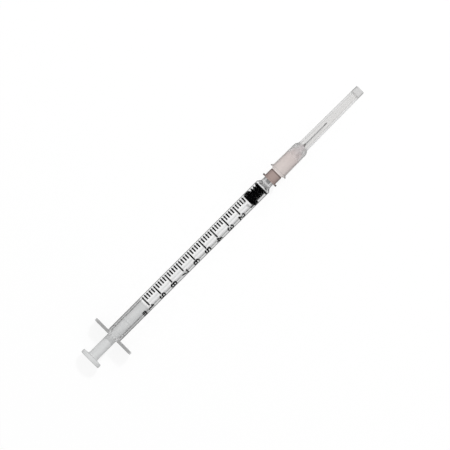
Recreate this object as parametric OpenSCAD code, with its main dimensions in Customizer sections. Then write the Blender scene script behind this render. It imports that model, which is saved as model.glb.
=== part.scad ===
// A 1 ml slip-tip insulin syringe with its needle on and the needle's cap over it, lying on its side
// with the plunger pushed home. +X runs from the thumb rest to the closed end of the cap, the finger
// wings point along Y and +Z is up. A value that ends in _x is a place along the axis, measured from
// the rear face of the finger flange. The origin is on the surface it lies on, under its middle.

/* [Barrel] */
// Bore of the barrel
bore_d = 4.6; // [4.4:0.05:5.4]
// Wall of the barrel
barrel_wall = 0.9; // [0.6:0.05:1.4]
// Plain length behind the scale's last line, from the rear face of the flange
plain_l = 18.55; // [14:0.05:40]
// Wall that closes the bore's front corner, along the axis
shoulder_t = 0.15; // [0.1:0.05:0.6]
// Length of the cone inside the front end of the bore
end_cone_l = 0.9; // [0.6:0.1:1.3]
// Length of the cone outside, from the tube to the tip
nose_l = 1.2; // [1:0.1:3]
// Radius that rounds the tube's front corner
nose_r = 0.3; // [0.1:0.05:0.5]
// Width of the bead that keeps the stopper from being pulled out
keeper_w = 0.7; // [0.4:0.1:1.5]
// Height of that bead above the bore
keeper_h = 0.1; // [0.05:0.01:0.12]
// Place of the middle of that bead
keeper_x = 3.3; // [2:0.1:5]
// Chamfer at the open end of the bore
mouth_chamfer = 0.4; // [0.1:0.05:0.6]

/* [Finger flange] */
// Width across both finger wings
flange_w = 18.6; // [14:0.1:26]
// Height between the two flats, on which the syringe can't roll
flange_h = 9.6; // [9.2:0.1:12]
// Thickness of the flange
flange_t = 1.1; // [0.8:0.1:2]
// Radius of the corners between flats and rounded ends
flange_corner = 1.2; // [0.5:0.1:2]
// Height and length of the cone at the flange's root
flange_root = 0.5; // [0.2:0.1:1.2]

/* [Tip] */
// Length of the tapered tip
tip_l = 7.5; // [6:0.1:10]
// Diameter of the tip's front end
tip_d = 3.95; // [3.9:0.01:4]
// Growth of the tip's diameter for each unit of length, as a conical fitting has it
tip_taper_share = 0.06; // [0.05:0.005:0.07]
// Channel through the tip
tip_bore_d = 1.8; // [1:0.1:2.2]
// Length of tip that the needle's hub covers
tip_grip_l = 5.5; // [5:0.1:7]

/* [Scale] */
// Length of the whole scale: 1 ml in the bore above
scale_l = 60.2; // [56:0.1:64]
// Divisions of the scale
divisions = 50; // [20:10:100]
// Divisions from one numbered line to the next
per_number = 5; // [5:5:10]
// Width of a printed line
line_w = 0.6; // [0.2:0.01:0.7]
// Thickness of the ink
ink_t = 0.04; // [0.02:0.01:0.08]
// Angle from the top, on the +Y side, at which every line starts
line_start_angle = 57; // [20:0.5:70]
// Angle over which a short line runs
short_line_angle = 45; // [20:0.5:60]
// Angle over which a numbered line runs
long_line_angle = 82.5; // [50:0.5:85]
// Angle from the top, on the -Y side, at which the numbers are centred
number_angle = 48; // [40:0.5:60]
// Height of a number, along the barrel
number_h = 2.85; // [2:0.05:3.5]
// Width of a number, around the barrel
number_w = 2.15; // [1.4:0.05:2.4]
// Thickness of a number's strokes
stroke_w = 0.56; // [0.25:0.01:0.6]
// Angle from the top, on the -Y side, at which the unit mark is centred
unit_angle = 53; // [45:0.5:60]
// Height of the unit mark
unit_h = 1.7; // [1:0.1:2]
// Thickness of the unit mark's strokes
unit_stroke_w = 0.42; // [0.25:0.01:0.5]
// Gap between the unit mark and the last line of the scale
unit_gap = 2.5; // [2:0.05:4]

/* [Plunger rod] */
// Diameter of the thumb rest
rest_d = 8.9; // [7:0.1:9]
// Thickness of the thumb rest
rest_t = 1.7; // [1:0.1:2.5]
// Radius of the thumb rest's edges
rest_edge_r = 0.35; // [0.1:0.05:0.5]
// Radius of the fillet between the thumb rest and the rod
rest_root_r = 0.75; // [0.3:0.05:1.2]
// Gap between the thumb rest and the flange with the plunger home
rest_gap = 10.35; // [4:0.05:14]
// Diameter of the rod's solid rear part, which guides it in the bore
guide_d = 4.15; // [3.4:0.05:4.2]
// Gap between the rod's solid rear part and the scale's last line, with the plunger home
guide_gap = 1.05; // [0.5:0.05:3]
// Width of each bead round the solid part
guide_bead_w = 0.6; // [0.3:0.1:1]
// Height of each bead round the solid part
guide_bead_h = 0.08; // [0.04:0.01:0.1]
// Place of the bead behind the one at the end
guide_bead_x = 8.4; // [6:0.1:12]
// Diameter over the four blades of the rod's front part
blade_d = 4.1; // [3.4:0.05:4.2]
// Thickness of a blade
blade_t = 0.8; // [0.5:0.05:1.2]
// Diameter of the plate that pushes the stopper
plate_d = 4.15; // [3:0.05:4.2]
// Thickness of that plate
plate_t = 0.8; // [0.4:0.1:1.5]
// Diameter of the neck in the stopper's rear wall
neck_d = 1.5; // [1:0.1:2]
// Diameter of the barbed head inside the stopper
head_d = 2.5; // [2.2:0.1:2.8]
// Length of that head
head_l = 1.9; // [1.2:0.1:2.5]

/* [Stopper] */
// Length of the stopper
stopper_l = 7.2; // [6.6:0.1:9]
// Diameter between the stopper's ribs
waist_d = 4.2; // [3.8:0.05:4.3]
// Width of the front rib, whose rear edge reads the scale
front_rib_w = 0.85; // [0.5:0.05:1.5]
// Width of the rear rib
rear_rib_w = 2.1; // [1:0.1:2.5]
// Length behind the rear rib
tail_l = 0.5; // [0.3:0.1:1]
// Chamfer on the ribs' edges
rib_chamfer = 0.12; // [0.05:0.01:0.2]
// Thickness of the wall that the neck goes through
stopper_wall = 1.1; // [0.8:0.1:1.6]

/* [Needle hub] */
// Length of the hub
hub_l = 18.4; // [16:0.1:20]
// Thickness of the ring at the hub's mouth
mouth_t = 0.7; // [0.5:0.05:1.2]
// Diameter of that ring
mouth_d = 5.5; // [5.3:0.05:6]
// Width across the two lugs on that ring
lug_span = 6.8; // [6.4:0.05:7.8]
// Width of a lug
lug_w = 2.4; // [1.5:0.1:3.5]
// Diameter of the hub's body behind the cap
hub_d = 5.15; // [5:0.01:5.3]
// Length of that body
hub_body_l = 3.2; // [2:0.1:5]
// Diameter of the part that the cap grips
grip_d = 4.85; // [4.8:0.01:4.95]
// Length of the part that the cap grips
grip_l = 9.8; // [4:0.1:10.5]
// Depth of the hub's socket past the tip
socket_spare = 1.8; // [1.2:0.1:2.5]
// Diameter over the fins where they meet the nose
fin_front_d = 4; // [3.4:0.1:4.3]
// Thickness of a fin
fin_t = 0.6; // [0.4:0.05:1]
// Diameter of the core between the fins
core_d = 2.7; // [2.5:0.05:3]
// Length of the nose in front of the fins
hub_nose_l = 2.3; // [1.5:0.1:3]
// Diameter of the nose's front end
hub_nose_d = 1.9; // [1.7:0.05:2.2]
// Diameter of the inner channel behind the cannula
channel_d = 1.3; // [1:0.05:1.5]
// Diameter of the cup that holds the adhesive
cup_d = 1.2; // [1:0.05:1.4]
// Depth of the cup that holds the adhesive
cup_l = 0.8; // [0.4:0.1:1.5]

/* [Cannula and adhesive] */
// Outer diameter of the cannula
cannula_d = 0.46; // [0.3:0.01:0.6]
// Bore of the cannula
cannula_bore_d = 0.26; // [0.15:0.01:0.28]
// Length of cannula in front of the hub
cannula_out_l = 12.5; // [8:0.1:16]
// Length of cannula inside the hub
cannula_in_l = 5.4; // [4:0.1:6]
// Angle of the ground point
point_angle = 13; // [10:1:20]
// Length of the adhesive in front of the hub
bead_l = 1.2; // [0.4:0.1:2]
// Diameter of the adhesive where it ends on the cannula
bead_end_d = 0.62; // [0.61:0.01:0.8]

/* [Needle cap] */
// Length of the cap
cap_l = 44.2; // [42:0.1:60]
// Gap between the hub's step and the cap's mouth
cap_gap = 0.45; // [0.2:0.05:0.8]
// Wall of the cap
cap_wall = 0.55; // [0.4:0.05:0.8]
// Diameter of the cap's body at its rim
cap_d = 6.35; // [6.1:0.05:6.8]
// Diameter of the cap's body at its shoulder
cap_front_d = 6; // [5.6:0.05:6.2]
// Length from the mouth to the shoulder
cap_body_l = 11.6; // [11:0.1:14]
// Length of the shoulder
cap_shoulder_l = 2.5; // [2:0.1:4]
// Diameter of the slender sheath at the shoulder
sheath_d = 4.35; // [3.6:0.05:4.4]
// Diameter of the slender sheath near its closed end
sheath_front_d = 3.8; // [3.2:0.05:4]
// Thickness of the sheath's closed end
cap_end_t = 2.6; // [1:0.1:4]
// Radius of the edge of the closed end
cap_end_r = 0.35; // [0.1:0.05:0.8]
// Diameter of the thin rim round the cap
rim_d = 7.7; // [6.9:0.05:8]
// Thickness of the rim at its edge
rim_t = 0.4; // [0.3:0.05:0.8]
// Length of the slope in front of the rim
rim_slope_l = 0.5; // [0.2:0.05:1]
// Distance from the mouth to the rim
rim_x = 0.3; // [0.2:0.05:1]
// Diameter of the narrow collar behind the rim
collar_d = 5.55; // [5.3:0.05:6]
// Bore of the sheath at its closed end
sheath_bore_d = 2.4; // [1.6:0.1:2.6]

/* [Fits] */
// Radial clearance of a running fit
running_gap = 0.03; // [0.02:0.01:0.05]
// Clearance between the rod's head and the stopper
head_gap = 0.05; // [0.03:0.01:0.1]
// Gap between the stopper and the end of the bore
end_gap = 0.45; // [0.1:0.05:0.6]

/* [Hidden] */
$fn = 96;

// Cuts run past the faces that they open by this much
over = 0.5;
// Points along a small round stretch of a profile
arc_steps = 6;
// Points along a large round stretch of a profile
long_arc_steps = 10;

barrel_d = bore_d + 2 * barrel_wall;
barrel_r = barrel_d / 2;
zero_x = plain_l + scale_l;
stopper_front_x = zero_x + front_rib_w;
stopper_x = stopper_front_x - stopper_l;
bore_l = stopper_front_x + end_gap;
barrel_l = bore_l + shoulder_t;
tip_base_x = barrel_l + nose_l;
tip_x = tip_base_x + tip_l;
hub_x = tip_x - tip_grip_l;
step_x = hub_x + mouth_t + hub_body_l;
fins_x = step_x + grip_l;
hub_nose_x = hub_x + hub_l - hub_nose_l;
hub_end_x = hub_x + hub_l;
cup_x = hub_end_x - cup_l;
cannula_x = hub_end_x - cannula_in_l;
point_x = hub_end_x + cannula_out_l;
cap_x = step_x + cap_gap;
cap_end_x = cap_x + cap_l;
plate_x = stopper_x - head_gap - plate_t;
division_l = scale_l / divisions;
guide_end_x = plain_l - guide_gap;
rest_x = -rest_gap - rest_t;
middle_x = (rest_x + cap_end_x) / 2;

// Points along an arc from angle a to angle b, as [r, x] in a turned profile
function arc(r_at, x_at, radius, a, b, steps) =
    [for (i = [0:steps]) let (t = a + (b - a) * i / steps)
        [r_at + radius * cos(t), x_at + radius * sin(t)]];

// Outside diameter of the tip's taper at a place along the axis
function taper_d(x) = tip_d + tip_taper_share * (tip_x - x);

// Puts a piece that was made upright on its side, with its own +Y on top
module laid() {
    translate([-middle_x, 0, flange_h / 2]) rotate([90, 0, 90]) children();
}

// A solid of revolution from a profile of points [r, x]
module turned(profile) {
    rotate_extrude() polygon(profile);
}

module rod_between(x0, x1, d) {
    translate([0, 0, x0]) cylinder(d = d, h = x1 - x0);
}

// A cone between two places, with a diameter at each
module cone_between(x0, d0, x1, d1) {
    translate([0, 0, x0]) cylinder(d1 = d0, d2 = d1, h = x1 - x0);
}

// Blades of one thickness, crossed on the axis
module crossed_blades(x0, x1, d, t) {
    for (turn = [0, 90]) {
        translate([0, 0, x0]) rotate([0, 0, turn]) linear_extrude(x1 - x0) square([d, t], center = true);
    }
}

// The flange's outline: two flats, and round ends that meet them in rounded corners
module flange_outline() {
    corner_y = flange_h / 2 - flange_corner;
    corner_reach = flange_w / 2 - flange_corner;
    corner_x = sqrt(corner_reach * corner_reach - corner_y * corner_y);
    end_a = atan2(corner_y, corner_x);
    wing = concat(
        arc(corner_x, corner_y, flange_corner, 90, end_a, arc_steps),
        arc(0, 0, flange_w / 2, end_a, -end_a, 2 * long_arc_steps),
        arc(corner_x, -corner_y, flange_corner, -end_a, -90, arc_steps)
    );
    polygon(concat(wing, -wing));
}

// The bore from its open end to the tip: mouth chamfer, keeper bead, end cone and channel
module barrel_hollow() {
    bore_r = bore_d / 2;
    bead_x0 = keeper_x - keeper_w / 2;
    turned(concat(
        [[0, -over], [bore_r + mouth_chamfer + over, -over], [bore_r, mouth_chamfer]],
        [[bore_r, bead_x0 - keeper_h], [bore_r - keeper_h, bead_x0]],
        [[bore_r - keeper_h, bead_x0 + keeper_w], [bore_r, bead_x0 + keeper_w + keeper_h]],
        [[bore_r, bore_l], [tip_bore_d / 2, bore_l + end_cone_l]],
        [[tip_bore_d / 2, tip_x + over], [0, tip_x + over]]
    ));
}

module barrel() {
    color("gainsboro", 0.45) laid() difference() {
        union() {
            linear_extrude(flange_t) flange_outline();
            turned(concat(
                [[0, 0], [barrel_r + flange_root, 0], [barrel_r + flange_root, flange_t]],
                [[barrel_r, flange_t + flange_root]],
                arc(barrel_r - nose_r, barrel_l, nose_r, 0, 45, arc_steps),
                [[taper_d(tip_base_x) / 2, tip_base_x], [tip_d / 2, tip_x], [0, tip_x]]
            ));
        }
        barrel_hollow();
    }
}

// One printed line, round the barrel from the +Y side over the top
module scale_line(x, angle) {
    translate([0, 0, x - line_w / 2]) rotate([0, 0, 90 - line_start_angle])
        rotate_extrude(angle = angle) translate([barrel_r, 0]) square([ink_t, line_w]);
}

module scale_lines() {
    color("black") laid() {
        for (i = [0:divisions]) {
            scale_line(zero_x - i * division_l, i % per_number == 0 ? long_line_angle : short_line_angle);
        }
    }
}

// A straight stroke with square ends between two points
module stroke(from, to, w = stroke_w) {
    way = to - from;
    translate(from) rotate([0, 0, atan2(way[1], way[0])])
        translate([0, -w / 2]) square([norm(way), w]);
}

// A ring with straight top and bottom and round ends, about its own middle
module loop(w, h) {
    difference() {
        pill(w, h);
        pill(w - 2 * stroke_w, h - 2 * stroke_w);
    }
}

module pill(w, h) {
    square([w - h, h], center = true);
    for (side = [-1, 1]) translate([side * (w - h) / 2, 0]) circle(d = h);
}

// The part of a shape that lies in one box between two corners
module within(low, high) {
    intersection() {
        translate(low) square(high - low);
        children();
    }
}

// The numbers 1 to 9, each drawn about its own middle from strokes and loops
module number_shape(n) {
    w = number_w;
    h = number_h;
    right = w / 2 - stroke_w / 2;
    top = h / 2 - stroke_w / 2;
    loop_h = (h + stroke_w) / 2;
    loop_y = (h - loop_h) / 2;
    if (n == 1) {
        stroke([0, -h / 2], [0, h / 2]);
        stroke([0, top], [-w * 0.42, top - w * 0.3]);
    }
    if (n == 2) {
        within([-w / 2, loop_y], [w / 2, h / 2]) translate([0, loop_y]) loop(w, loop_h);
        within([w * 0.17, loop_y * 0.04], [w / 2, h / 2]) translate([0, loop_y]) loop(w, loop_h);
        stroke([right * 0.79, loop_y * 0.35], [-right, -top]);
        stroke([-w / 2, -top], [w / 2, -top]);
    }
    if (n == 3) {
        for (side = [-1, 1]) {
            within([-w * 0.1, -h / 2], [w / 2, h / 2]) translate([0, side * loop_y]) loop(w, loop_h);
            within([-w / 2, side > 0 ? loop_y : -h / 2], [w / 2, side > 0 ? h / 2 : -loop_y])
                translate([0, side * loop_y]) loop(w, loop_h);
        }
    }
    if (n == 4) {
        stroke([w * 0.18, -h / 2], [w * 0.18, h / 2]);
        stroke([w * 0.18, top], [-right, -h * 0.16]);
        stroke([-w / 2, -h * 0.16], [w / 2, -h * 0.16]);
    }
    if (n == 5) {
        stroke([-right, top], [w / 2, top]);
        stroke([-right, -stroke_w / 2], [-right, h / 2]);
        within([0, -h / 2], [w / 2, h / 2]) translate([0, -loop_y]) loop(w, loop_h);
        within([-w / 2, -h / 2], [w / 2, -loop_y]) translate([0, -loop_y]) loop(w, loop_h);
        stroke([-w / 2, 0], [0, 0]);
    }
    if (n == 6 || n == 9) rotate([0, 0, n == 9 ? 180 : 0]) {
        translate([0, -loop_y]) loop(w, loop_h);
        within([-w / 2, -loop_y], [0, h / 2]) rotate([0, 0, 90]) loop(h, w);
        within([0, h * 0.27], [w / 2, h / 2]) rotate([0, 0, 90]) loop(h, w);
    }
    if (n == 7) {
        stroke([-w / 2, top], [w / 2, top]);
        within([-w / 2, -h / 2], [w / 2, h / 2]) stroke([right, top], [-right * 0.45, -h * 0.55]);
    }
    if (n == 8) {
        for (side = [-1, 1]) translate([0, side * loop_y]) loop(w, loop_h);
    }
}

// The unit mark: an m, then an l
module unit_shape() {
    w = unit_stroke_w;
    leg = unit_h * 0.8;
    for (i = [-1:1]) {
        translate([i * w * 1.75 - w * 0.9, 0]) stroke([0, -unit_h / 2], [0, leg - unit_h / 2], w);
    }
    translate([-w * 0.9, leg - unit_h / 2]) square([w * 4.5, w], center = true);
    translate([w * 2.7, 0]) stroke([0, -unit_h / 2], [0, unit_h / 2], w);
}

// A flat shape pressed on the barrel as ink, upright when the needle points up
module printed(x, angle) {
    intersection() {
        translate([0, 0, x]) rotate([0, 0, angle]) rotate([90, 0, 180])
            linear_extrude(barrel_d) children();
        translate([0, 0, x - scale_l / 2]) difference() {
            cylinder(r = barrel_r + ink_t, h = scale_l);
            cylinder(r = barrel_r, h = scale_l);
        }
    }
}

module scale_numbers() {
    color("black") laid() {
        for (i = [per_number:per_number:divisions]) {
            tenths = round(i * 10 / divisions);
            printed(zero_x - i * division_l, number_angle) number_shape(tenths == 10 ? 1 : tenths);
        }
        printed(zero_x - scale_l - unit_gap - unit_h / 2, unit_angle) unit_shape();
    }
}

// Profile points of a bead round the rod's solid part
function guide_bead(x) =
    let (r = guide_d / 2, x0 = x - guide_bead_w / 2, x1 = x + guide_bead_w / 2)
    [[r, x0], [r + guide_bead_h, x0], [r + guide_bead_h, x1], [r, x1]];

// Thumb rest and solid guide, then crossed blades, then the plate, neck and head behind the stopper
module plunger_rod() {
    head_x = stopper_x + stopper_wall + head_gap;
    color("whitesmoke", 0.7) laid() {
        turned(concat(
            [[0, rest_x]],
            arc(rest_d / 2 - rest_edge_r, rest_x + rest_edge_r, rest_edge_r, -90, 0, arc_steps),
            arc(rest_d / 2 - rest_edge_r, rest_x + rest_t - rest_edge_r, rest_edge_r, 0, 90, arc_steps),
            arc(guide_d / 2 + rest_root_r, rest_x + rest_t + rest_root_r, rest_root_r, 270, 180, arc_steps),
            guide_bead(guide_bead_x),
            guide_bead(guide_end_x - guide_bead_w / 2),
            [[0, guide_end_x]]
        ));
        crossed_blades(guide_end_x - blade_t, plate_x + plate_t / 2, blade_d, blade_t);
        turned([
            [0, plate_x],
            [plate_d / 2, plate_x],
            [plate_d / 2, plate_x + plate_t],
            [neck_d / 2, plate_x + plate_t],
            [neck_d / 2, head_x],
            [head_d / 2, head_x],
            [head_d / 2, head_x + head_l / 2],
            [neck_d / 2, head_x + head_l],
            [0, head_x + head_l]
        ]);
    }
}

// Profile points of a rib between two places, chamfered at both edges
function rib(x0, x1) =
    let (low_r = waist_d / 2, r = bore_d / 2 - running_gap, c = rib_chamfer)
    [[low_r, x0], [r - c, x0], [r, x0 + c], [r, x1 - c], [r - c, x1], [low_r, x1]];

module stopper() {
    room_x = stopper_x + stopper_wall;
    hole_r = neck_d / 2 + head_gap;
    room_r = head_d / 2 + head_gap;
    color("#1c1c1e") laid() difference() {
        turned(concat(
            [[0, stopper_x], [waist_d / 2, stopper_x]],
            rib(stopper_x + tail_l, stopper_x + tail_l + rear_rib_w),
            rib(stopper_front_x - front_rib_w, stopper_front_x),
            [[0, stopper_front_x]]
        ));
        turned([
            [0, stopper_x - over],
            [hole_r, stopper_x - over],
            [hole_r, room_x],
            [room_r, room_x],
            [room_r, room_x + head_l / 2 + 2 * head_gap],
            [hole_r, room_x + head_l + 3 * head_gap],
            [0, room_x + head_l + 3 * head_gap]
        ]);
    }
}

// The socket, the channel behind the cannula, the cannula's hole and the cup for the adhesive
module hub_hollow() {
    socket_end_x = tip_x + socket_spare;
    turned([
        [0, hub_x - over],
        [taper_d(hub_x) / 2 + running_gap, hub_x - over],
        [taper_d(hub_x) / 2 + running_gap, hub_x],
        [taper_d(socket_end_x) / 2 + running_gap, socket_end_x],
        [channel_d / 2, socket_end_x],
        [channel_d / 2, cannula_x],
        [cannula_d / 2, cannula_x],
        [cannula_d / 2, cup_x],
        [cup_d / 2, cup_x],
        [cup_d / 2, hub_end_x + over],
        [0, hub_end_x + over]
    ]);
}

// Mouth ring with its two lugs, body, the step that the cap stops short of, grip, fins and nose
module needle_hub() {
    color("rosybrown", 0.6) laid() difference() {
        union() {
            turned([
                [0, hub_x],
                [mouth_d / 2, hub_x],
                [mouth_d / 2, hub_x + mouth_t],
                [hub_d / 2, hub_x + mouth_t],
                [hub_d / 2, step_x],
                [grip_d / 2, step_x],
                [grip_d / 2, fins_x],
                [core_d / 2, fins_x],
                [core_d / 2, hub_nose_x],
                [hub_nose_d / 2, hub_end_x],
                [0, hub_end_x]
            ]);
            translate([0, 0, hub_x]) linear_extrude(mouth_t) intersection() {
                circle(d = lug_span);
                square([lug_span, lug_w], center = true);
            }
            intersection() {
                crossed_blades(fins_x - fin_t, hub_nose_x, grip_d, fin_t);
                cone_between(fins_x - fin_t, grip_d - 2 * running_gap, hub_nose_x, fin_front_d);
            }
        }
        hub_hollow();
    }
}

// The adhesive fills the hub's cup round the cannula and runs out along it
module adhesive_bead() {
    color("lightgray", 0.8) laid() turned([
        [cannula_d / 2, cup_x],
        [cup_d / 2, cup_x],
        [cup_d / 2, hub_end_x],
        [bead_end_d / 2, hub_end_x + bead_l],
        [cannula_d / 2, hub_end_x + bead_l]
    ]);
}

// The steel tube, ground to a point whose face looks up
module cannula() {
    ground_l = cannula_d / sin(point_angle);
    color("silver") laid() difference() {
        rod_between(cannula_x, point_x, cannula_d);
        rod_between(cannula_x - over, point_x + over, cannula_bore_d);
        translate([0, -cannula_d / 2, point_x]) rotate([point_angle - 90, 0, 0])
            translate([-cannula_d, -over, 0]) cube([2 * cannula_d, ground_l + 2 * over, 2 * cannula_d]);
    }
}

// The shoulder bulges where it leaves the body and runs out softly on the sheath
module cap_outside() {
    shoulder_x = cap_x + cap_body_l;
    rim_at = cap_x + rim_x;
    front_r = cap_front_d / 2;
    turned(concat(
        [[0, cap_x], [collar_d / 2, cap_x], [collar_d / 2, rim_at], [rim_d / 2, rim_at]],
        [[rim_d / 2, rim_at + rim_t], [cap_d / 2, rim_at + rim_t + rim_slope_l]],
        [for (i = [0:long_arc_steps]) let (t = i / long_arc_steps)
            [sheath_d / 2 + (front_r - sheath_d / 2) * (1 + cos(180 * t * t * (2 - t))) / 2,
             shoulder_x + cap_shoulder_l * t]],
        arc(sheath_front_d / 2 - cap_end_r, cap_end_x - cap_end_r, cap_end_r, 0, 90, arc_steps),
        [[0, cap_end_x]]
    ));
}

// The cap's inside: a straight grip on the hub, then the same form as outside, a wall further in
module cap_hollow() {
    inner_d = grip_d + 2 * running_gap;
    shoulder_x = cap_x + cap_body_l;
    sheath_x = shoulder_x + cap_shoulder_l;
    turned([
        [0, cap_x - over],
        [inner_d / 2, cap_x - over],
        [inner_d / 2, fins_x],
        [cap_front_d / 2 - cap_wall, shoulder_x - cap_wall],
        [sheath_d / 2 - cap_wall, sheath_x - cap_wall],
        [sheath_bore_d / 2, cap_end_x - cap_end_t],
        [0, cap_end_x - cap_end_t]
    ]);
}

module needle_cap() {
    color("gainsboro", 0.4) laid() difference() {
        cap_outside();
        cap_hollow();
    }
}

barrel();
scale_lines();
scale_numbers();
plunger_rod();
stopper();
needle_hub();
adhesive_bead();
cannula();
needle_cap();
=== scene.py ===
"""A 1 ml insulin syringe with its needle and cap on: the looks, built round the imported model."""

import math

import bmesh
import bpy
import numpy as np
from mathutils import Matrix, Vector


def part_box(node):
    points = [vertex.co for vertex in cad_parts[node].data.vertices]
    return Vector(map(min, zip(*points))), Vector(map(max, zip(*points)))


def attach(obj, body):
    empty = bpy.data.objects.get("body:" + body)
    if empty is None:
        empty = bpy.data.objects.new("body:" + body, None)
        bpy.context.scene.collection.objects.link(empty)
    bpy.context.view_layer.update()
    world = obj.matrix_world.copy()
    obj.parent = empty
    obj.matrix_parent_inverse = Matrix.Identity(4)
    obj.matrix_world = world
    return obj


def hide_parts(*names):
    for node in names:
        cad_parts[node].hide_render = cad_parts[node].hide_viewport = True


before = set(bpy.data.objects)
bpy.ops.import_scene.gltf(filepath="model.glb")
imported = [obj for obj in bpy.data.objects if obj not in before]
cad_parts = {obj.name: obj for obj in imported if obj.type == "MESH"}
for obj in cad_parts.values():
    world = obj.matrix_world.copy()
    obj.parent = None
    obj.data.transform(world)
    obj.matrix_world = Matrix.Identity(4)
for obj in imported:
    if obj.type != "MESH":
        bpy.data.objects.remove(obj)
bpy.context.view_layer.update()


# Barrel: tube, finger flange, nose and conical tip in one moulding of clear polypropylene. The flange's
# flats stop the syringe from rolling. The tube is thick-walled, so its edges read as grey bands.

MM = 0.001
axis_z = sum(corner.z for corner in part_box("barrel")) / 2


def around(count, extra=()):
    """Angles round the axis in degrees, from +Y over the top, with the extra ones in each quarter."""
    even = np.arange(count) * 360 / count
    more = [side for a in extra for side in (a, 180 - a, 180 + a, 360 - a)]
    return np.unique(np.round(np.concatenate([even, more]), 3))


def moulded(name, start, corners, angles):
    """A closed piece round the axis. A corner is (place along the axis in mm from start, radius, rounding);
    a radius is one number, or one for each angle where the piece isn't round."""
    ones = np.ones(len(angles))
    at = np.array([[along * ones, radius * ones] for along, radius, _ in corners])
    steps = 4
    rings = []
    for i, (_, _, rounding) in enumerate(corners):
        if not rounding:
            rings.append(at[i])
            continue
        sides = []
        for other in (at[i - 1], at[(i + 1) % len(corners)]):
            way = other - at[i]
            length = np.maximum(np.hypot(*way), 1e-9)
            sides.append(at[i] + way * np.minimum(rounding / length, 0.5))
        for t in np.linspace(0, 1, steps + 1):
            rings.append((1 - t) ** 2 * sides[0] + 2 * t * (1 - t) * at[i] + t * t * sides[1])
    turn = np.radians(angles)
    shape = bmesh.new()
    rows = []
    for along, radius in rings:
        places = zip(along * MM + start, radius * np.cos(turn) * MM, radius * np.sin(turn) * MM + axis_z)
        rows.append([shape.verts.new(place) for place in places])
    solid = max(rings[0][1]) < 1e-6
    for one, two in zip(rows, rows[1:] if solid else rows[1:] + rows[:1]):
        for i in range(len(turn)):
            shape.faces.new((one[i - 1], one[i], two[i], two[i - 1]))
    bmesh.ops.remove_doubles(shape, verts=shape.verts, dist=MM * 0.0005)
    bmesh.ops.recalc_face_normals(shape, faces=shape.faces)
    mesh = bpy.data.meshes.new(name)
    shape.to_mesh(mesh)
    shape.free()
    mesh.shade_smooth()
    mesh.set_sharp_from_angle(angle=math.radians(32))
    piece = bpy.data.objects.new(name, mesh)
    bpy.context.scene.collection.objects.link(piece)
    piece.modifiers.new("even_shading", "WEIGHTED_NORMAL").keep_sharp = True
    return piece


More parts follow.
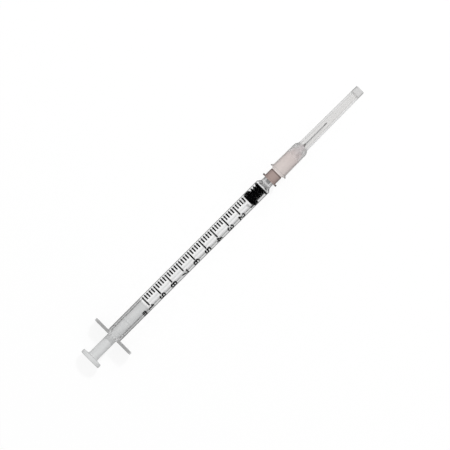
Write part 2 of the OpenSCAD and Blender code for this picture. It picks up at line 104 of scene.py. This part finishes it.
class Wire:
    """A socket of a material's nodes. Sums with it are written as Python expressions."""

    def __init__(self, tree, socket=None):
        self.tree = tree
        self.socket = socket

    def node(self, kind, settings, inputs, output=0):
        """A node of this kind, with its settings made first, then the values or links of its sockets."""
        made = self.tree.nodes.new(kind)
        for name, value in settings.items():
            if name == "stops":
                made.color_ramp.elements[0].position = value[0][0]
                made.color_ramp.elements[1].position = value[-1][0]
                for place, _ in value[1:-1]:
                    made.color_ramp.elements.new(place)
                for element, (_, colour) in zip(made.color_ramp.elements, value):
                    element.color = (*colour, 1)
            else:
                setattr(made, name, value)
        for name, value in inputs.items():
            if isinstance(value, Wire):
                self.tree.links.new(value.socket, made.inputs[name])
            else:
                made.inputs[name].default_value = value
        return Wire(self.tree, made.outputs[output] if made.outputs else None)

    def math(self, operation, first, second):
        return self.node("ShaderNodeMath", {"operation": operation}, {0: first, 1: second})

    def __add__(self, other):
        return self.math("ADD", self, other)

    def __sub__(self, other):
        return self.math("SUBTRACT", self, other)

    def __rsub__(self, other):
        return self.math("SUBTRACT", other, self)

    def __mul__(self, other):
        return self.math("MULTIPLY", self, other)

    __radd__ = __add__
    __rmul__ = __mul__

    def __abs__(self):
        return self.math("ABSOLUTE", self, 0)

    def max(self, other):
        """The greater of this value and another."""
        return self.math("MAXIMUM", self, other)

    def step(self, low, high):
        """0 below low and 1 above high, with a soft change between them."""
        return self.node(
            "ShaderNodeMapRange",
            {"interpolation_type": "SMOOTHSTEP"},
            {"Value": self, "From Min": low, "From Max": high},
        )

    def place(self, axis, start=0):
        """Places along one axis, in mm from start, which is in metres."""
        here = self.node("ShaderNodeTexCoord", {}, {}, "Object")
        return (self.node("ShaderNodeSeparateXYZ", {}, {"Vector": here}, axis) - start) * (1 / MM)

    def edge(self, low, high):
        """Share of a surface that is seen at a slant: 0 below low and 1 above high."""
        return self.node("ShaderNodeLayerWeight", {}, {"Blend": 0.5}, "Facing").step(low, high)

    def ray(self, kind):
        """1 for light rays of this kind, and 0 for others."""
        return self.node("ShaderNodeLightPath", {}, {}, kind)

    def grain(self, size, stretch=(1, 1, 1), detail=2):
        """Soft random grain about 0.5, its grains size mm wide, drawn out along any axis by stretch."""
        here = self.node("ShaderNodeTexCoord", {}, {}, "Object")
        drawn = self.node(
            "ShaderNodeVectorMath",
            {"operation": "DIVIDE"},
            {0: here, 1: tuple(size * MM * s for s in stretch)},
        )
        return self.node("ShaderNodeTexNoise", {}, {"Vector": drawn, "Scale": 1.0, "Detail": detail})

    def bump(self, strength, height):
        """A normal for a surface that this value raises by up to height mm."""
        sizes = {"Strength": strength, "Distance": height * MM, "Height": self}
        return self.node("ShaderNodeBump", {}, sizes)

    def tones(self, *stops):
        """Colours that follow this value, from stops of (value, colour)."""
        return self.node("ShaderNodeValToRGB", {"stops": stops}, {"Fac": self})

    def mix(self, share, first, second):
        """The colour that is first, with this share of second. Each is a socket's, or a plain colour."""
        one, two = (c if isinstance(c, Wire) else (*c, 1) for c in (first, second))
        return self.node("ShaderNodeMix", {"data_type": "RGBA"}, {"Factor": share, 6: one, 7: two}, 2)

    def blend(self, share, first, second):
        """The shader that is first, with this share of second."""
        return self.node("ShaderNodeMixShader", {}, {0: share, 1: first, 2: second})

    def surface(self, inputs):
        """The main shader, with these values or links of its sockets."""
        return self.node("ShaderNodeBsdfPrincipled", {}, inputs)

    def absorbing(self, density):
        """The inside of a clear piece, which takes up a little light on the way through."""
        return self.node("ShaderNodeVolumeAbsorption", {}, {"Color": (0, 0, 0, 1), "Density": density})

    def lets_light_in(self, glass, tint, share=1):
        """Glass that lamps shine straight through, so that what is inside it is lit."""
        straight = self.node("ShaderNodeBsdfTransparent", {}, {"Color": (tint, tint, tint, 1)})
        lamp_or_bounce = self.ray("Is Shadow Ray").max(self.ray("Is Diffuse Ray"))
        return self.blend(lamp_or_bounce * share, glass, straight)

    def show(self, **ends):
        """Links what the material shows on its Surface and in its Volume to its output."""
        self.node("ShaderNodeOutputMaterial", {}, ends)


def material(name):
    """An empty material, and the wire that starts its nodes."""
    made = bpy.data.materials.new(name)
    made.use_nodes = True
    made.node_tree.nodes.clear()
    return made, Wire(made.node_tree)


barrel_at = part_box("barrel")[0].x
bore_r = 2.3
bore_l = 80.05
lead_in_r = 2.5
lead_in_l = 0.7
keeper_at = 3.3
keeper_r = 2.2
tube_r = 3.2
tube_l = 80.2
flange_r = 9.3
flange_flat = 4.8
flange_corner = 1.2
flange_t = 1.1
root = 0.25
tip_at = 81.4
tip_rear_r = 2.2
tip_end = 88.9
tip_end_r = 1.975
channel_at = 80.95
channel_r = 0.9

# The flange's outline is an arc on each wing, a flat above and below, and a rounded corner between them.
corner_z = flange_flat - flange_corner
corner_y = math.sqrt((flange_r - flange_corner) ** 2 - corner_z**2)
arc_to = math.degrees(math.atan2(corner_z, corner_y))
flat_from = math.degrees(math.atan2(flange_flat, corner_y))
barrel_angles = around(128, np.linspace(arc_to, flat_from, 7))
steep = np.degrees(np.arcsin(np.abs(np.sin(np.radians(barrel_angles)))))
reach = corner_y * np.cos(np.radians(steep)) + corner_z * np.sin(np.radians(steep))
on_corner = reach + np.sqrt(np.maximum(reach**2 - corner_y**2 - corner_z**2 + flange_corner**2, 0))
on_flat = flange_flat / np.sin(np.radians(np.maximum(steep, 5)))
outline = np.where(steep <= arc_to, flange_r, np.where(steep >= flat_from, on_flat, on_corner))

barrel = moulded(
    "barrel_body",
    barrel_at,
    [
        (0, lead_in_r, 0.08),
        (0, outline, 0.1),
        (flange_t, outline, 0.1),
        (flange_t, tube_r + root, 0.12),
        (flange_t + root, tube_r, 0.3),
        (tube_l, tube_r, 0.2),
        (tip_at, tip_rear_r, 0.3),
        (tip_end, tip_end_r, 0.15),
        (tip_end, channel_r, 0.15),
        (channel_at, channel_r, 0.1),
        (bore_l, bore_r, 0.12),
        (keeper_at + 0.5, bore_r, 0.1),
        (keeper_at + 0.2, keeper_r, 0.08),
        (keeper_at - 0.2, keeper_r, 0.08),
        (keeper_at - 0.5, bore_r, 0.1),
        (lead_in_l, bore_r, 0.15),
    ],
    barrel_angles,
)

clear, wire = material("clear_polypropylene")
flow = wire.grain(0.9, (14, 1, 1))
speck = wire.grain(0.25)
along = wire.place("X", barrel_at)
across = wire.place("Y")
height = wire.place("Z", axis_z)
in_bore = 1 - (across * across + height * height).step(2.4**2, 2.5**2)
in_flange = 1 - along.step(flange_t + 0.45, flange_t + 0.6)
in_wing = in_flange * abs(across).step(2.1, 2.6)
round_guide = 1 - along.step(17.3, 17.9)
in_nose = along.step(bore_l + 0.05, bore_l + 0.3)
in_tip = along.step(tip_at + 0.4, tip_at + 1.2)

# The wall darkens to a band beside the bore, and to a line at the outer edge, where it is seen at a slant.
# Round the rod's thick guide the band is dark, and partly painted shade of the gap between the rod and the
# bore. In front of it, a wide, faint painted shadow on the numbers' side stands for the shadow on the table
# seen through the tube.
rear_wall_and_gap_shade = 0.73 * round_guide * wire.edge(0.2, 0.31)
on_number_side = 1 - across.step(-1.2, -0.8)
painted_floor_shadow_band = 0.36 * on_number_side * (1 - round_guide) * (1 - in_nose) * wire.edge(0.04, 0.2)
line_from = 0.52 - 0.07 * round_guide
outer_line = 0.95 * wire.edge(line_from, line_from + 0.1)
tube_grey = 0.03 + rear_wall_and_gap_shade.max(painted_floor_shadow_band).max(outer_line) * (1 - in_flange)
wing_grey = 0.385 * in_wing
tip_grey = (0.44 + 0.3 * wire.edge(0.2, 0.4)) * in_tip
glass = wire.surface(
    {
        "Base Color": wire.mix(tube_grey.max(wing_grey).max(tip_grey), (1, 1, 1), (0, 0, 0)),
        "Roughness": 0.01 + 0.02 * speck + 0.15 * in_flange + (0.45 - 0.35 * in_tip) * in_nose,
        "IOR": 1.49,
        "Transmission Weight": 1.0,
        "Specular Tint": (0.05, 0.05, 0.05, 1),
        "Normal": (flow + 0.4 * speck).bump(0.015, 0.02),
    }
)

# The tube hardly dims a lamp, while the flange's wings and its rear face cast a shadow.
at_rear_face = (1 - along.step(0.2, 0.4)) * (1 - in_bore) * (1 - in_wing)
lit_share = 1 - 0.44 * at_rear_face - 0.75 * in_wing
wire.show(Surface=wire.lets_light_in(glass, 0.99, lit_share), Volume=wire.absorbing(12.0))
barrel.data.materials.append(clear)
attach(barrel, "barrel")
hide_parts("barrel")


# Scale lines and numbers: black ink, pad-printed straight onto the barrel in one pass. The film is 0.04 mm
# thick, and slightly uneven where the pad has lifted it.

ink, wire = material("black_ink")
film = wire.grain(0.3)
ink_shader = wire.surface(
    {
        "Base Color": film.tones((0.3, (0.0006, 0.0006, 0.0006)), (0.7, (0.0016, 0.0016, 0.0018))),
        "Roughness": 0.3 + 0.25 * film,
        "Specular IOR Level": 0.0,
        "Normal": film.bump(0.25, 0.02),
    }
)
wire.show(Surface=ink_shader)
for name in ("scale_lines", "scale_numbers"):
    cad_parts[name].data.materials.clear()
    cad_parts[name].data.materials.append(ink)
    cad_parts[name].visible_shadow = False
    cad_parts[name].visible_diffuse = False


# Stopper: one moulding of black rubber. Its two ribs are squeezed against the bore, so they touch the clear
# wall and look as wide as the whole tube, and the waist between them stands free.

stopper_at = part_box("stopper")[0].x
stopper_l = 7.2
rib_r = bore_r + 0.012
waist_r = 2.1
tail_l = 0.5
rear_rib_end = 2.6
front_rib_at = 6.35
rib_slope = 0.02
cavity_at = 1.1
cavity_r = 1.3
cavity_cone_at = 3.25
cavity_end = 4.35
neck_hole_r = 0.8
stopper = moulded(
    "rubber_stopper",
    stopper_at,
    [
        (0, neck_hole_r, 0.05),
        (0, waist_r, 0.12),
        (tail_l, waist_r, 0.05),
        (tail_l + rib_slope, rib_r, 0.06),
        (rear_rib_end - rib_slope, rib_r, 0.06),
        (rear_rib_end + rib_slope, waist_r, 0.08),
        (front_rib_at - rib_slope, waist_r, 0.08),
        (front_rib_at + rib_slope, rib_r, 0.06),
        (stopper_l - rib_slope, rib_r, 0.06),
        (stopper_l, waist_r, 0.08),
        (stopper_l, 0, 0),
        (cavity_end, 0, 0),
        (cavity_end, neck_hole_r, 0.1),
        (cavity_cone_at, cavity_r, 0.1),
        (cavity_at, cavity_r, 0.1),
        (cavity_at, neck_hole_r, 0.05),
    ],
    around(96),
)
rubber, wire = material("black_rubber")
bloom = wire.grain(0.5)
pores = wire.grain(0.12)
rubber_shader = wire.surface(
    {
        "Base Color": bloom.tones((0.35, (0.0006, 0.0006, 0.0006)), (0.75, (0.0016, 0.0016, 0.0018))),
        "Roughness": 0.42 + 0.2 * bloom,
        "Specular IOR Level": 0.05,
        "Normal": pores.bump(0.3, 0.01),
    }
)
wire.show(Surface=rubber_shader)
stopper.data.materials.append(rubber)
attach(stopper, "stopper")
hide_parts("stopper")


# Plunger rod: one moulding of milky polypropylene, its barbed head pressed into the stopper. The thumb rest
# and the solid guide are thick and greyer. The thin crossed blades in front of them are painted near white,
# partly for the light that shines through the thin plastic.

rod_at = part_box("plunger_rod")[0].x
rest_r = 4.45
rest_t = 1.7
dish_r = 3.2
dish_depth = 0.06
guide_r = 2.075
guide_end = 29.55
bead_at = 20.15
bead_w = 0.6
bead_r = 2.155
blade_r = 2.05
blade_half = 0.4
plate_at = 83.6
plate_t = 0.8
neck_r = 0.75
head_at = 85.6
head_r = 1.25
barb_at = 86.6
head_end = 87.5
rod_angles = around(96)
from_blade = np.abs((rod_angles + 45) % 90 - 45)
blades = np.where(
    from_blade <= math.degrees(math.asin(blade_half / blade_r)) + 0.1,
    blade_r,
    blade_half / np.sin(np.radians(np.maximum(from_blade, 5))),
)
rod = moulded(
    "plunger_rod_body",
    rod_at,
    [
        (0, 0, 0),
        (dish_depth, dish_r, 0.3),
        (0, rest_r, 0.4),
        (rest_t, rest_r, 0.4),
        (rest_t, guide_r + 0.05, 0.8),
        (bead_at - 0.1, guide_r, 0.1),
        (bead_at, bead_r, 0.08),
        (bead_at + bead_w, bead_r, 0.08),
        (bead_at + bead_w + 0.1, guide_r, 0.1),
        (guide_end - bead_w - 0.1, guide_r, 0.1),
        (guide_end - bead_w, bead_r, 0.08),
        (guide_end, bead_r, 0.1),
        (guide_end, blades, 0.15),
        (plate_at, blades, 0.1),
        (plate_at, guide_r, 0.12),
        (plate_at + plate_t, guide_r, 0.12),
        (plate_at + plate_t, neck_r, 0.08),
        (head_at, neck_r, 0.05),
        (head_at, head_r, 0.12),
        (barb_at, head_r, 0.15),
        (head_end, neck_r, 0.2),
        (head_end, 0, 0),
    ],
    rod_angles,
)
milky, wire = material("milky_polypropylene")
cloud = wire.grain(1.6, (3, 1, 1))
speck = wire.grain(0.25)
in_blades = wire.place("X", rod_at).step(guide_end - 0.4, guide_end + 0.2)
thick = cloud.tones((0.3, (0.75, 0.76, 0.76)), (0.7, (0.80, 0.805, 0.805)))
thin_with_painted_light = cloud.tones((0.3, (0.955, 0.96, 0.96)), (0.7, (0.985, 0.985, 0.985)))
milk = wire.surface(
    {
        "Base Color": wire.mix(in_blades, thick, thin_with_painted_light),
        "Roughness": 0.28 + 0.12 * speck,
        "IOR": 1.49,
        "Coat Weight": 1 - 0.56 * in_blades,
        "Coat Tint": (0.88, 0.88, 0.88, 1),
        "Coat IOR": 1.03,
        "Normal": (cloud + 0.4 * speck).bump(0.03, 0.02),
    }
)
wire.show(Surface=milk)
rod.data.materials.append(milky)
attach(rod, "rod")
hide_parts("plunger_rod")


# Needle hub: one moulding of tinted translucent polypropylene, pushed onto the conical tip. Two lugs stand
# out at its mouth, and four short fins stand in front of the part that the cap grips.

hub_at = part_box("needle_hub")[0].x
hub_l = 18.4
ring_r = 2.75
ring_t = 0.7
lug_r = 3.4
lug_half = 1.2
lug_tip_angle = 20.7
lug_foot_angle = 25.9
body_end = 3.9
hub_body_r = 2.575
grip_r = 2.463
grip_end = 13.7
core_r = 1.35
fin_angle = 7.6
fin_rear_r = 2.4
fin_front_r = 2.0
fin_end = 16.1
nose_end_r = 0.95
cup_at = 17.6
cup_r = 0.6
passage_at = 13.0
passage_r = 0.24
hollow_r = 0.65
socket_l = 7.3
socket_r = 2.17
socket_end_r = 1.95
hub_angles = around(96, (lug_tip_angle, lug_foot_angle))
from_lug = np.degrees(np.arcsin(np.abs(np.sin(np.radians(hub_angles)))))
lug_side_r = np.clip(lug_half / np.sin(np.radians(np.maximum(from_lug, 5))), ring_r, lug_r)
lugs = np.where(from_lug <= lug_tip_angle + 0.1, lug_r, lug_side_r)
from_fin = np.abs((hub_angles + 45) % 90 - 45)
fins_rear = np.where(from_fin <= fin_angle, fin_rear_r, core_r)
fins_front = np.where(from_fin <= fin_angle, fin_front_r, core_r)
hub = moulded(
    "needle_hub_body",
    hub_at,
    [
        (0, socket_r, 0.1),
        (0, lugs, 0.15),
        (ring_t, lugs, 0.15),
        (ring_t, hub_body_r, 0.12),
        (body_end, hub_body_r, 0.1),
        (body_end, grip_r, 0.03),
        (grip_end, grip_r, 0.6),
        (grip_end, fins_rear, 0.05),
        (fin_end, fins_front, 0.15),
        (fin_end, core_r, 0.1),
        (hub_l, nose_end_r, 0.12),
        (hub_l, cup_r, 0.08),
        (cup_at, cup_r, 0.05),
        (cup_at, passage_r, 0.02),
        (passage_at, passage_r, 0.02),
        (passage_at, hollow_r, 0.05),
        (socket_l, hollow_r, 0.05),
        (socket_l, socket_end_r, 0.1),
    ],
    hub_angles,
)
tinted, wire = material("tinted_polypropylene")
cloud = wire.grain(1.2, (2.5, 1, 1))
speck = wire.grain(0.25)
along = wire.place("X", hub_at)
in_cap = along.step(3.95, 4.15)
in_lugs = abs(wire.place("Y")).step(2.5, 2.8)

# The body behind the cap is brownish. It ends in a dark line of painted shadow, where the cap's mouth shades
# it. Inside the cap the hub is painted paler, for the light the hazy cap spreads over it, and darker again
# towards its nose, painted shade among the fins and under the cap's shoulder.
tone_and_painted_shading_stops = [
    (0.0, (0.71, 0.57, 0.525)),
    (3.5, (0.71, 0.57, 0.525)),
    (3.6, (0.35, 0.275, 0.25)),
    (4.05, (0.35, 0.275, 0.25)),
    (4.15, (0.98, 0.90, 0.87)),
    (4.7, (0.98, 0.90, 0.87)),
    (5.3, (0.87, 0.79, 0.76)),
    (11.8, (0.815, 0.73, 0.705)),
    (14.6, (0.81, 0.745, 0.74)),
    (hub_l, (0.77, 0.735, 0.75)),
]
tone_and_painted_shading = (along * (1 / hub_l)).tones(*[(place / hub_l, colour) for place, colour in tone_and_painted_shading_stops])
tone_and_painted_shading = wire.mix(in_lugs, tone_and_painted_shading, (0.22, 0.19, 0.185))
hub_shader = wire.surface(
    {
        "Base Color": wire.mix(0.16 * cloud, tone_and_painted_shading, (0.3, 0.25, 0.24)),
        "Roughness": 0.3 + 0.12 * speck,
        "IOR": 1.49,
        "Coat Weight": 1 - 0.78 * in_cap,
        "Coat Tint": (0.58, 0.565, 0.565, 1),
        "Coat IOR": 1.03,
        "Normal": (cloud + 0.4 * speck).bump(0.03, 0.02),
    }
)
wire.show(Surface=hub_shader)
hub.data.materials.append(tinted)
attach(hub, "needle")
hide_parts("needle_hub")


# Adhesive: a drop of grey resin, cured in the cup of the hub's nose, where it holds the cannula. It has crept
# along the steel, and thins out to a narrow foot where it ends.

drop_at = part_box("adhesive_bead")[0].x
drop_r = 0.59
drop_l = 0.82
creep_l = 1.15
creep_r = 0.42
foot_r = 0.29
foot_end = 2.0
steel_r = 0.228
adhesive = moulded(
    "adhesive_drop",
    drop_at,
    [
        (0, steel_r, 0),
        (0, drop_r, 0.05),
        (drop_l, drop_r, 0.1),
        (creep_l, creep_r, 0.2),
        (foot_end - 0.02, foot_r, 0.1),
        (foot_end, steel_r, 0),
    ],
    around(64),
)
resin, wire = material("cured_resin")
swirl = wire.grain(0.3)
resin_shader = wire.surface(
    {
        "Base Color": swirl.tones((0.3, (0.22, 0.205, 0.205)), (0.7, (0.3, 0.285, 0.285))),
        "Roughness": 0.12 + 0.1 * swirl,
        "Normal": swirl.bump(0.2, 0.02),
    }
)
wire.show(Surface=resin_shader)
adhesive.data.materials.append(resin)
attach(adhesive, "needle")
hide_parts("adhesive_bead")


# Cannula: drawn stainless steel tube, ground to a slanting point. Fine lines from drawing run along it, and
# it is held in the hub's nose by the resin.

steel, wire = material("drawn_steel")
drawn = wire.grain(0.03, (60, 1, 1), 4)
steel_shader = wire.surface(
    {
        "Base Color": drawn.tones((0.3, (0.68, 0.68, 0.69)), (0.7, (0.86, 0.86, 0.87))),
        "Metallic": 1.0,
        "Roughness": 0.22 + 0.14 * drawn,
        "Normal": drawn.bump(0.2, 0.004),
    }
)
wire.show(Surface=steel_shader)
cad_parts["cannula"].data.materials.clear()
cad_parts["cannula"].data.materials.append(steel)


# Needle cap: one thin moulding of clear, slightly hazy plastic, a push fit over the hub. A rim runs round its
# mouth, its body narrows over a rounded shoulder to a slender sheath, and its far end is solid.

cap_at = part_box("needle_cap")[0].x
cap_l = 44.2
collar_l = 0.3
collar_r = 2.775
rim_end = 0.7
rim_r = 3.85
rim_foot = 1.2
body_r = 3.175
front_r = 3.0
shoulder_at = 11.6
shoulder_l = 2.5
sheath_r = 2.175
end_r = 1.9
solid_l = 2.6
sheath_bore_r = 1.2
cone_bore_at = 11.05
cone_bore_r = 2.45
cone_bore_end = 13.55
cone_bore_end_r = 1.6
grip_bore_l = 9.35
grip_bore_r = 2.455
shoulder = []
for t in np.linspace(0, 1, 15):
    left = (1 + math.cos(math.pi * t * t * (2 - t))) / 2
    shoulder.append((shoulder_at + shoulder_l * t, sheath_r + (front_r - sheath_r) * left, 0))
cap = moulded(
    "needle_cap_body",
    cap_at,
    [
        (0, grip_bore_r, 0.1),
        (0, collar_r, 0.1),
        (collar_l, collar_r, 0.05),
        (collar_l, rim_r, 0.12),
        (rim_end, rim_r, 0.12),
        (rim_foot, body_r, 0.4),
        *shoulder,
        (cap_l, end_r, 0.4),
        (cap_l, 0, 0),
        (cap_l - solid_l, 0, 0),
        (cap_l - solid_l, sheath_bore_r, 1.0),
        (cone_bore_end, cone_bore_end_r, 0.6),
        (cone_bore_at, cone_bore_r, 0.6),
        (grip_bore_l, grip_bore_r, 0.2),
    ],
    around(128),
)
hazy, wire = material("hazy_cap_plastic")
cloud = wire.grain(1.5, (4, 1, 1))
speck = wire.grain(0.2)
along = wire.place("X", cap_at)
in_rim = along.step(0.2, 0.4) * (1 - along.step(0.7, 1.3))
in_body = 1 - along.step(10.5, 14.1)
behind_nose = 1 - along.step(6.5, 9.5)
over_nose = 1 - behind_nose - along.step(13.6, 14.6)
near_end = along.step(cap_l - 3.8, cap_l - 3.2)
in_end = along.step(cap_l - 2.8, cap_l - 2.4)

# The plastic looks greyest where it is thick: at its rim, over the hub's nose, at its end and at its edges.
face_grey = 0.11 - 0.07 * in_body + 0.08 * in_end + 0.04 * over_nose + 0.08 * in_rim
edge_grey = (0.2 + 0.14 * behind_nose) * wire.edge(0.2, 0.5) + 0.3 * wire.edge(0.5, 0.7)
cap_glass = wire.surface(
    {
        "Base Color": wire.mix(face_grey + edge_grey, (1, 0.995, 0.99), (0, 0, 0)),
        "Roughness": 0.05 + 0.05 * speck + 0.3 * over_nose + 0.3 * near_end,
        "IOR": 1.49,
        "Transmission Weight": 1.0,
        "Specular Tint": (0.05, 0.05, 0.05, 1),
        "Normal": (cloud + 0.4 * speck).bump(0.03, 0.02),
    }
)
wire.show(Surface=wire.lets_light_in(cap_glass, 0.97), Volume=wire.absorbing(50.0))
cap.data.materials.append(hazy)
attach(cap, "cap")
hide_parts("needle_cap")


# Floor: a plain white table top. It shows as white, in mirrors and through glass as well, and keeps a part
# of the shadow that falls on it.

floor_half = 4
corners = [(-floor_half, -floor_half, 0), (floor_half, -floor_half, 0)]
corners += [(floor_half, floor_half, 0), (-floor_half, floor_half, 0)]
floor_mesh = bpy.data.meshes.new("table_top")
floor_mesh.from_pydata(corners, [], [(0, 1, 2, 3)])
floor = bpy.data.objects.new("table_top", floor_mesh)
bpy.context.scene.collection.objects.link(floor)
floor.location.z = -0.02 * MM
white, wire = material("white_table")
lit = wire.node("ShaderNodeBsdfDiffuse", {}, {"Color": (0.97, 0.97, 0.97, 1)})
plain_white = wire.node("ShaderNodeEmission", {}, {"Color": (1, 1, 1, 1), "Strength": 1.0})
mirrored = wire.ray("Is Glossy Ray") + wire.ray("Is Transmission Ray")
plain_share = 0.88 * wire.ray("Is Camera Ray") + 0.3 * mirrored
wire.show(Surface=wire.blend(plain_share, lit, plain_white))
floor.data.materials.append(white)


# Light: an even, pale surround, whose ceiling looks greyer in mirrors and through glass, and one small soft
# lamp. The lamp stands high above the needle's end, a little to the side of the scale's lines.

world = bpy.data.worlds.new("pale_surround")
bpy.context.scene.world = world
world.use_nodes = True
world.node_tree.nodes.clear()
wire = Wire(world.node_tree)
lighting, walls, ceiling, backdrop = (
    wire.node("ShaderNodeBackground", {}, {"Color": (1, 1, 1, 1), "Strength": strength})
    for strength in (0.59, 0.95, 0.35, 1.0)
)
direction = wire.node("ShaderNodeTexCoord", {}, {}, "Generated")
upward = wire.node("ShaderNodeSeparateXYZ", {}, {"Vector": direction}, "Z").step(0.1, 0.9)
mirrored = wire.ray("Is Glossy Ray").max(wire.ray("Is Transmission Ray"))
around_object = wire.blend(mirrored, lighting, wire.blend(upward, walls, ceiling))
surround = wire.blend(wire.ray("Is Camera Ray"), around_object, backdrop)
wire.node("ShaderNodeOutputWorld", {}, {"Surface": surround})

key_data = bpy.data.lights.new("key", "AREA")
key_data.shape = "DISK"
key_data.size = 0.12
key_data.energy = 7.7
key = bpy.data.objects.new("key", key_data)
bpy.context.scene.collection.objects.link(key)
key.visible_glossy = False
key.visible_transmission = False
key.location = (0.62, 0.15, 1.05)
key.rotation_mode = "QUATERNION"
key.rotation_quaternion = (Vector((0, 0, 0)) - key.location).to_track_quat("-Z", "Y")


# Camera: straight above, with the syringe's axis going up to the right. The lens is long, so that the picture
# is as flat as the photograph.

lean = math.radians(44.977)
pixel = 0.376 * MM
picture_w = 450
lens = 800
sensor = 36
camera_data = bpy.data.cameras.new("camera")
camera_data.lens = lens
camera_data.sensor_width = sensor
distance = picture_w * pixel * lens / sensor
camera_data.clip_end = distance * 2
camera = bpy.data.objects.new("camera", camera_data)
bpy.context.scene.collection.objects.link(camera)
right = Vector((math.cos(lean), -math.sin(lean), 0))
up = Vector((math.sin(lean), math.cos(lean), 0))
camera.location = pixel * (0.077 * right - 0.321 * up) + Vector((0, 0, axis_z + distance))
camera.rotation_euler.z = -lean
bpy.context.scene.camera = camera
bpy.context.scene.view_settings.view_transform = "Standard"
